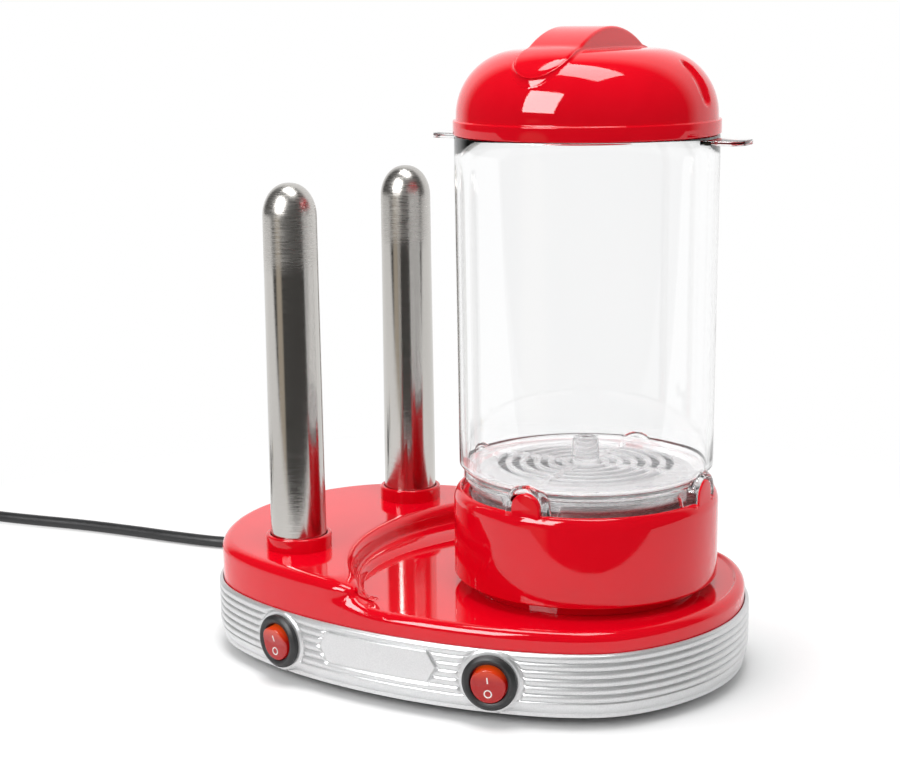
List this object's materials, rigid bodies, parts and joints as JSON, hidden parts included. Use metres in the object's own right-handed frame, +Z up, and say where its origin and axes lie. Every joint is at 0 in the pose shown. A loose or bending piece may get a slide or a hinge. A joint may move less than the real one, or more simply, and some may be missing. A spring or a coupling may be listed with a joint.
{
  "type": "hot dog steamer with bun spikes",
  "caption": "Oval countertop hot dog steamer: clear jar with lift-off lid on a red steam drum, and upright heated steel spikes for buns beside it.",
  "frame": {"origin": "on the surface that the feet stand on, under the middle of the object's box without its cord", "axes": "+X towards the steaming jar's side, -Y towards the front with the switches, +Z up"},
  "size_m": [0.561, 0.2753, 0.2772],
  "materials": {
    "red_plastic": "high gloss moulded",
    "silver": "satin silver paint on ribbed plastic",
    "clear_plastic": "clear, high gloss",
    "polished_steel": "polished stainless steel with fine turning marks",
    "aluminium": "pressed, satin",
    "steel": "plain steel",
    "black_plastic": "fine moulded texture",
    "gloss_black": "gloss",
    "red_lens": "translucent red",
    "label": "satin silver foil, blank",
    "ceramic": "unglazed",
    "rubber": "matt",
    "cord": "satin PVC sheath",
    "wire": "glass-fibre sleeved leads",
    "brass": "plated pins"
  },
  "bodies": {
    "base": {"base_skirt": "silver", "bottom_plate": "black_plastic", "foot_front_left": "rubber", "foot_front_right": "rubber", "foot_rear_left": "rubber", "foot_rear_right": "rubber", "base_screw_1": "steel", "base_screw_2": "steel", "base_screw_3": "steel", "base_screw_4": "steel", "top_cover": "red_plastic", "steam_drum": "red_plastic", "water_pan": "aluminium", "pan_heater": "steel", "thermostat": "ceramic", "thermal_fuse": "steel", "collar_front": "red_plastic", "spike_front": "polished_steel", "spike_heater_front": "steel", "heater_holder_front": "ceramic", "collar_rear": "red_plastic", "spike_rear": "polished_steel", "spike_heater_rear": "steel", "heater_holder_rear": "ceramic", "switch_bezel_left": "gloss_black", "switch_bezel_right": "gloss_black", "label_plate": "label", "terminal_block": "ceramic", "cord_clamp": "black_plastic", "lead_left_switch": "wire", "lead_right_switch": "wire", "lead_pan_heater": "wire", "lead_bun_spikes": "wire", "lead_spike_link": "wire", "strain_relief": "rubber", "power_cord": "cord", "cord_coil": "cord", "cord_tail": "cord", "plug_body": "black_plastic", "plug_pin_left": "brass", "plug_pin_right": "brass"},
    "jar": {"jar": "clear_plastic"},
    "grate": {"steam_grate": "clear_plastic"},
    "lid": {"lid": "red_plastic"},
    "switch_left": {"rocker_left": "red_lens"},
    "switch_right": {"rocker_right": "red_lens"}
  },
  "joints": [
    {"name": "jar_lift", "type": "slide", "parent": "base", "child": "jar", "axis": [0, 0, 1], "range_m": [0, 0.1]},
    {"name": "lid_lift", "type": "slide", "parent": "jar", "child": "lid", "axis": [0, 0, 1], "range_m": [0, 0.06]},
    {"name": "grate_lift", "type": "slide", "parent": "jar", "child": "grate", "axis": [0, 0, 1], "range_m": [0, 0.1]},
    {"name": "rocker_left_tip", "type": "hinge", "parent": "base", "child": "switch_left", "pos_m": [-0.05286, -0.08189, 0.0186], "axis": [-0.9751, 0.2215, 0], "range_deg": [0, 18]},
    {"name": "rocker_right_tip", "type": "hinge", "parent": "base", "child": "switch_right", "pos_m": [0.05086, -0.08189, 0.0186], "axis": [-0.9751, -0.2215, 0], "range_deg": [0, 18]}
  ]
}
